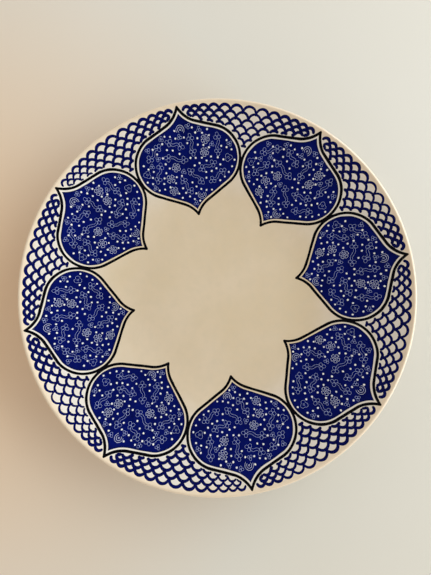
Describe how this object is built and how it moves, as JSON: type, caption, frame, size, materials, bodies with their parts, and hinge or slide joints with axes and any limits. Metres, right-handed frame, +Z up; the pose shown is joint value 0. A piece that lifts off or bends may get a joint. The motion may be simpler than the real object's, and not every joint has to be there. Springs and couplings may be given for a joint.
{
  "type": "coupe plate",
  "caption": "Round coupe serving plate of glazed ceramic: a flat well, a wall that curves up to a rounded lip, a foot ring to stand on, and a ring of pointed cobalt medallions with fish scales.",
  "frame": {"origin": "on the table, under the middle of the plate: the centre of the foot ring's tread plane", "axes": "+Z up out of the eating face; +Y through the first medallion's axis; +X to the right with +Y away"},
  "size_m": [0.3, 0.3, 0.032],
  "materials": {
    "fired_clay": "bare fired clay, matt and slightly gritty",
    "white_glaze": "glossy cream-white glaze",
    "cobalt_blue": "glossy cobalt ground with brushed density changes",
    "black_line": "glossy black enamel line",
    "scale_blue": "glossy navy brush strokes",
    "dot_white": "glossy white enamel dots"
  },
  "bodies": {
    "root": {"clay_body": "fired_clay", "face_glaze": "white_glaze", "foot_recess_glaze": "white_glaze", "cobalt_medallion_1": "cobalt_blue", "cobalt_medallion_2": "cobalt_blue", "cobalt_medallion_3": "cobalt_blue", "cobalt_medallion_4": "cobalt_blue", "cobalt_medallion_5": "cobalt_blue", "cobalt_medallion_6": "cobalt_blue", "cobalt_medallion_7": "cobalt_blue", "cobalt_medallion_8": "cobalt_blue", "black_outline_1": "black_line", "black_outline_2": "black_line", "black_outline_3": "black_line", "black_outline_4": "black_line", "black_outline_5": "black_line", "black_outline_6": "black_line", "black_outline_7": "black_line", "black_outline_8": "black_line", "scale_field_1": "scale_blue", "scale_field_2": "scale_blue", "scale_field_3": "scale_blue", "scale_field_4": "scale_blue", "scale_field_5": "scale_blue", "scale_field_6": "scale_blue", "scale_field_7": "scale_blue", "scale_field_8": "scale_blue", "white_dots_1": "dot_white", "white_dots_2": "dot_white", "white_dots_3": "dot_white", "white_dots_4": "dot_white", "white_dots_5": "dot_white", "white_dots_6": "dot_white", "white_dots_7": "dot_white", "white_dots_8": "dot_white"}
  },
  "joints": []
}
